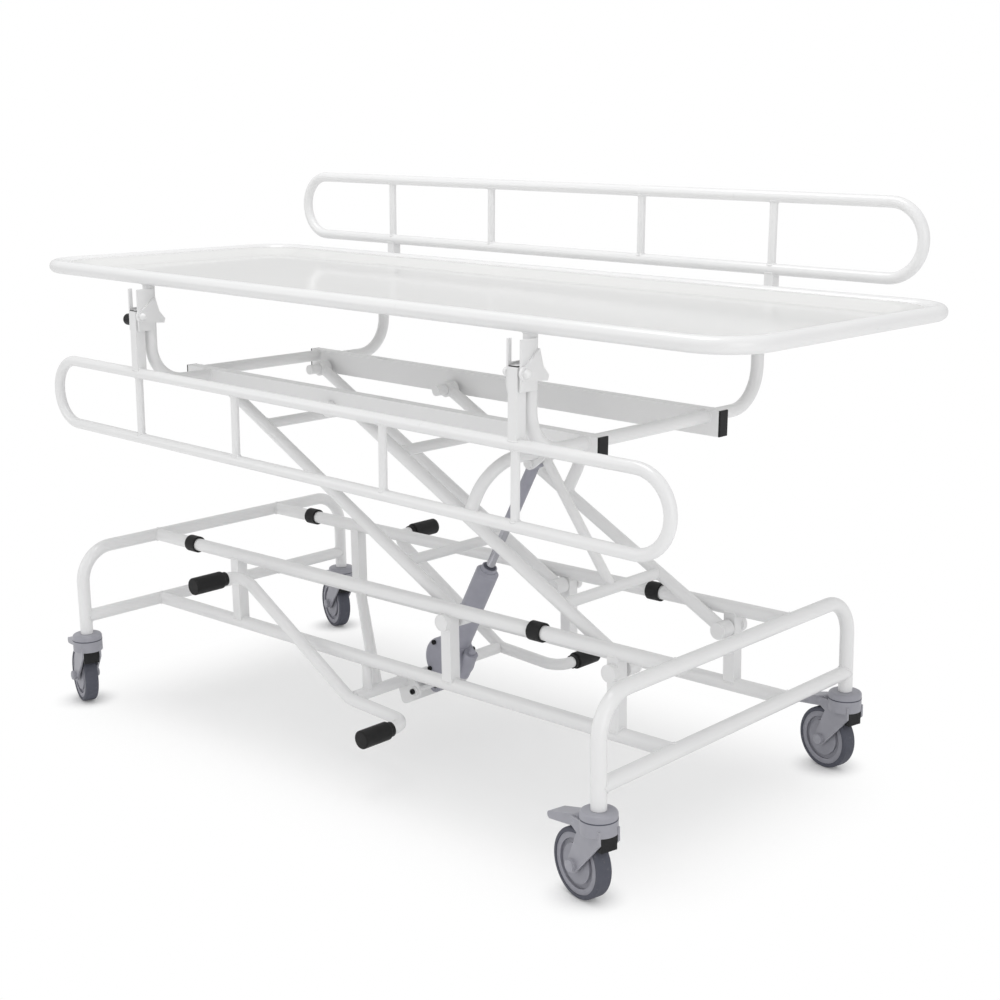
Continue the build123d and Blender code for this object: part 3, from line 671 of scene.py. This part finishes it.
dress(base_beads(), "base_weld_beads", "base", "white_frame", bead_smooth)
dress(right_arm_beads(), "right_arm_weld_beads", "right_arms", "white_frame", bead_smooth)
dress(left_arm_beads(), "left_arm_weld_beads", "left_arms", "white_frame", bead_smooth)
dress(deck_beads(), "deck_weld_beads", "deck", "white_frame", bead_smooth)

# Side rails, modelled on the raised far one of a level deck
far_hinge = Vector((0, hinge_y, hinge_z))


def rail_beads():
    beads = []
    for x in rail_bar_x:
        for distance, way in ((rail_inner, 1), (rail_outer, -1)):
            at = far_hinge + distance * Z + x * X
            beads.append(weld(rail_bar_radius, at, way * Z, X, rail_radius))
    for x in post_x:
        on_loop = far_hinge + rail_inner * Z + x * X
        at = on_loop + rail_post_outset * Y
        beads.append(weld(rail_post_half, at, -Z, X, rail_radius, square_corner, on_loop))
    return joined(beads)


def post_ends(inset, height, above):
    """Flat end pieces under the square posts of a rail; the black ones are painted shadow, a dark
    sheet for the shadow gap at the post's end.
    """
    start()
    bpy.ops.mesh.primitive_cube_add(size=1)
    plate = bpy.context.object
    plate.scale = (end_plate_width - 2 * inset, end_plate_depth - 2 * inset, height)
    bpy.ops.object.transform_apply(scale=True)
    ease(plate, height * plate_ease)
    drop = rail_post_end + above + height / 2
    post = far_hinge + rail_post_outset * Y - drop * Z
    return repeated(plate, [Matrix.Translation(post + x * X) for x in post_x])


lowered = (
    Matrix.Translation((0, -hinge_y, hinge_z))
    @ Matrix.Rotation(pi, 4, "X")
    @ Matrix.Translation((0, hinge_y, -hinge_z))
    @ Matrix.Scale(-1, 4, Y)
)
rail_places = (
    ("far_rail", "far_side_rail", tilt_deck),
    ("near_rail", "near_side_rail", tilt_deck @ lowered),
)
dress_copies({"weld_beads": (rail_beads(), "white_frame", bead_smooth)}, rail_places)
white_caps = post_ends(cap_inset, cap_height, shadow_plug_height)
# The black post plugs are painted shadow, a dark sheet for the shadow gap at the post ends; the
# white caps sit on them.
dress_copies(
    {
        "post_painted_shadow_plugs": (post_ends(0, shadow_plug_height, 0), "black_plastic", plain_smooth),
        "post_caps": (white_caps, "white_frame", plain_smooth),
    },
    rail_places,
)


# Tray
def dished_tray():
    """A sheet with rounded corners that eases down from its brim."""
    start()
    bpy.ops.mesh.primitive_plane_add(size=1)
    sheet = bpy.context.object
    sheet.scale = (tray_length, tray_width, 1)
    bpy.ops.object.transform_apply(location=True, scale=True)
    bpy.ops.object.mode_set(mode="EDIT")
    bpy.ops.mesh.select_all(action="SELECT")
    bpy.ops.mesh.bevel(
        offset=tray_corner, segments=tray_corner_steps,
        affect="VERTICES", profile=0.5, clamp_overlap=False,
    )
    bpy.ops.mesh.select_all(action="SELECT")
    ring_width = tray_slope / tray_rings
    fall = 0.0
    for ring in range(1, tray_rings + 1):
        part = ring / tray_rings
        lower = tray_dish * part * part * (3 - 2 * part)
        bpy.ops.mesh.inset(thickness=ring_width, depth=fall - lower, use_even_offset=True)
        fall = lower
    bpy.ops.object.mode_set(mode="OBJECT")
    wall = sheet.modifiers.new("wall", "SOLIDIFY")
    wall.thickness = tray_sheet
    wall.offset = -1
    bpy.ops.object.modifier_apply(modifier="wall")
    ease(sheet, tray_edge)
    set_down(sheet, tilt_deck @ Matrix.Translation((tray_centre_x, 0, tray_top_z)))
    return sheet


tray_piece = dress(dished_tray(), "dished_tray_sheet", "deck", "tray_gloss", tray_smooth)
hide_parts("tray")

# Domed covers on the pivot pins
lower_reach = pivot_face + pivot_cap_length
upper_reach = deck_rail_face + pivot_cap_length
lower_places = [
    facing_out(foot + side * lower_reach * Y, side)
    for foot in (left_foot, right_foot)
    for side in sides
]
upper_places = [facing_out(right_top + side * upper_reach * Y, side) for side in sides]
pivot_cover = turned(pivot_cover_profile, steps=48)
lower_covers = joined([copied(pivot_cover, place) for place in lower_places])
dress(lower_covers, "lower_pivot_covers", "base", "white_frame", cover_smooth)
upper_covers = repeated(pivot_cover, upper_places)
dress(upper_covers, "upper_pivot_covers", "deck", "white_frame", cover_smooth)


# Screws of the pump and its bracket
def socket_screw(radius, height):
    """A round head with a six-sided recess, standing on local Z = 0."""
    head = standing_bar(36, radius, 0, height)
    ease(head, radius * screw_ease)
    deep = height * recess_depth
    recess = standing_bar(6, radius * recess_width, height - deep, height + deep)
    pick(head)
    drilled = head.modifiers.new("recess", "BOOLEAN")
    drilled.operation = "DIFFERENCE"
    drilled.object = recess
    bpy.ops.object.modifier_apply(modifier="recess")
    bpy.data.objects.remove(recess)
    return head


strut_along = Vector((cos(strut_slope), 0, sin(strut_slope)))
strut_right = Vector((sin(strut_slope), 0, -cos(strut_slope)))
pump_middle = strut_foot + strut_along * pump_centre
pump_screw_places = []
for side in sides:
    for turn in pump_bolt_turns:
        out = Vector((cos(radians(turn)), 0, sin(radians(turn)))) * pump_bolt_circle
        pump_screw_places.append(facing_out(pump_middle + out + side * pump_face * Y, side))
pump_screw = socket_screw(pump_screw_radius, pump_screw_height)
pump_screws = repeated(pump_screw, pump_screw_places)
dress(pump_screws, "pump_screws", "pump", "black_plastic", screw_smooth)

bracket_screw_places = [facing_out(strut_foot + side * foot_pin_face * Y, side) for side in sides]
bracket_screw_places.append(frame_matrix(bracket_front_screw, X, Z))
bracket_screw = socket_screw(bracket_screw_radius, bracket_screw_height)
bracket_screws = repeated(bracket_screw, bracket_screw_places)
dress(bracket_screws, "bracket_screws", "base", "black_plastic", screw_smooth)

# Filler plug and wiper ring of the hydraulic strut
filler = standing_bar(6, filler_flats / sqrt(3), 0, filler_height)
ease(filler, filler_ease)
filler_place = strut_foot + strut_along * filler_station + strut_right * filler_offset
set_down(filler, frame_matrix(filler_place, strut_along, Y))
dress(filler, "pump_filler_plug", "pump", "pump_grey")
wiper = turned(wiper_profile, steps=44)
set_down(wiper, frame_matrix(strut_foot + strut_along * wiper_station, strut_along, Y))
dress(wiper, "rod_wiper_ring", "pump", "tyre", screw_smooth)


# Casters, modelled at the swivel axis with the wheel trailing along -X
def swivel_seal():
    """The bearing seal that shows as a seam round the head of a caster."""
    seal = turned(swivel_seal_profile, steps=64)
    set_down(seal, Matrix.Translation(head_seam_z * Z))
    return seal


def brake_block():
    """The dark brake block between the fork plates, hollowed to follow the tyre."""
    start()
    bpy.ops.mesh.primitive_cube_add(size=1, location=block_place)
    block = bpy.context.object
    block.scale = block_size
    bpy.ops.object.transform_apply(location=True, scale=True)
    bpy.ops.object.mode_set(mode="EDIT")
    bpy.ops.mesh.subdivide(number_cuts=block_cuts)
    bpy.ops.object.mode_set(mode="OBJECT")
    axle = Vector((-caster_trail, axle_z))
    for point in block.data.vertices:
        away = Vector((point.co.x, point.co.z)) - axle
        if away.length < tyre_clear:
            point.co.x, point.co.z = axle + away.normalized() * tyre_clear
    ease(block, block_ease)
    return block


def axle_caps():
    """Smooth low domes over both ends of the axle."""
    ends = [Vector((-caster_trail, side * axle_end, axle_z)) for side in sides]
    places = [facing_out(end, side) for end, side in zip(ends, sides)]
    return repeated(turned(axle_cap_profile, steps=40), places)


caster_places = {
    f"{side}_{end}": Matrix.Translation((x, y, 0)) @ Matrix.Rotation(caster_turn[end], 4, "Z")
    for end, x in caster_x.items()
    for side, y in caster_y.items()
}
dress_copies(
    {
        "swivel_seal": (swivel_seal(), "tyre", plain_smooth),
        "brake_block": (brake_block(), "black_plastic", plain_smooth),
        "axle_caps": (axle_caps(), "caster_metal", plain_smooth),
    },
    [(caster, caster + "_fork", place) for caster, place in caster_places.items()],
)

# Floor, a white sheet that glows white away from the trolley; near it the glow is held back, a
# painted shadow patch over its real soft shadows
white = (1, 1, 1, 1)
floor_size = 60
floor_paint = (0.93, 0.93, 0.93, 1)
shadow_core = (0.56, 0.18, 0)
shadow_fade = 0.38
shadow_white = 0.4
contact_shadow_core = 0.015
contact_shadow_fade = 0.085
contact_shadow_white = 0.12


def pale_floor():
    start()
    bpy.ops.mesh.primitive_plane_add(size=floor_size)
    floor = bpy.context.object
    floor.name = "studio_floor"
    finish, shade = new_finish("studio_floor")
    seen = shade.node("LightPath", {}, {}, "Is Camera Ray")
    place = shade.node("TexCoord", {}, {}, "Object")
    spread = shade.node("VectorMath", {"operation": "ABSOLUTE"}, {0: place})
    beyond = shade.node("VectorMath", {"operation": "SUBTRACT"}, {0: spread, 1: shadow_core})
    outside = shade.node("VectorMath", {"operation": "MAXIMUM"}, {0: beyond, 1: (0, 0, 0)})
    reach = shade.node("VectorMath", {"operation": "LENGTH"}, {0: outside}, "Value")
    # Under the trolley's footprint the glow is held back, so the floor shows darker there:
    # painted shadow laid over its real shading.
    bright = shadow_white + (1 - shadow_white) * reach.step(0, shadow_fade)
    # Round each wheel's contact point the glow fades out: a painted contact shadow laid over the
    # floor's real shading.
    for caster in caster_places.values():
        touch = caster @ Vector((-caster_trail, 0, 0))
        distance = {"operation": "DISTANCE"}
        away = shade.node("VectorMath", distance, {0: place, 1: touch}, "Value")
        bright *= contact_shadow_white + (1 - contact_shadow_white) * away.step(contact_shadow_core, contact_shadow_fade)
    plain = shade.node("BsdfDiffuse", {}, {"Color": floor_paint})
    glow = shade.node("Emission", {}, {"Color": white, "Strength": 1.0})
    skin = shade.node("MixShader", {}, {0: seen * bright, 1: plain, 2: glow})
    shade.node("OutputMaterial", {}, {"Surface": skin})
    floor.data.materials.append(finish)


pale_floor()

# Light, white all round with three soft boxes
ambient_light = 0.76
mirrored_light = 0.68
backdrop_light = 1.0
world = bpy.data.worlds.new("studio")
bpy.context.scene.world = world
world.use_nodes = True
world.node_tree.nodes.clear()
sky = Shade(world.node_tree)
seen = sky.node("LightPath", {}, {}, "Is Camera Ray")
mirrored = sky.node("LightPath", {}, {}, "Is Glossy Ray")
ambient = sky.node("Background", {}, {"Color": white, "Strength": ambient_light})
reflected = sky.node("Background", {}, {"Color": white, "Strength": mirrored_light})
backdrop = sky.node("Background", {}, {"Color": white, "Strength": backdrop_light})
unseen = sky.node("MixShader", {}, {0: mirrored, 1: ambient, 2: reflected})
both = sky.node("MixShader", {}, {0: seen, 1: unseen, 2: backdrop})
sky.node("OutputWorld", {}, {"Surface": both})


def softbox(name, place, target, size, power):
    lamp = bpy.data.lights.new(name, "AREA")
    lamp.shape = "RECTANGLE"
    lamp.size, lamp.size_y = size
    lamp.energy = power
    light = bpy.data.objects.new(name, lamp)
    bpy.context.scene.collection.objects.link(light)
    light.location = place
    light.rotation_euler = (Vector(target) - Vector(place)).to_track_quat("-Z", "Y").to_euler()


softbox("overhead", place=(-0.2, -0.5, 4.0), target=(0, 0, 0.5), size=(2.6, 1.1), power=44)
softbox("left_side", place=(-3.0, -3.4, 2.2), target=(0, 0, 0.6), size=(2.2, 2.2), power=12)
softbox("right_side", place=(3.6, -1.2, 1.3), target=(0.4, 0, 0.4), size=(2.4, 2.4), power=17)

# Camera, at the place and turn solved from the photograph
camera_place = Vector((2292.3, -2254.0, 1226.6)) * MM
yaw, pitch, roll = radians(43.134), radians(-12.47), radians(-0.892)
forward = Vector((-sin(yaw) * cos(pitch), cos(yaw) * cos(pitch), sin(pitch)))
level = Vector((cos(yaw), sin(yaw), 0))
upward = level.cross(forward)
to_right = level * cos(roll) + upward * sin(roll)
to_top = upward * cos(roll) - level * sin(roll)
lens = bpy.data.cameras.new("photo_camera")
lens.sensor_width = 36
lens.lens = 57.03
lens.clip_end = 200
camera = bpy.data.objects.new("photo_camera", lens)
bpy.context.scene.collection.objects.link(camera)
turned_to = Matrix((to_right, to_top, -forward)).transposed().to_4x4()
camera.matrix_world = Matrix.Translation(camera_place) @ turned_to
bpy.context.scene.camera = camera
bpy.context.scene.view_settings.view_transform = "Standard"
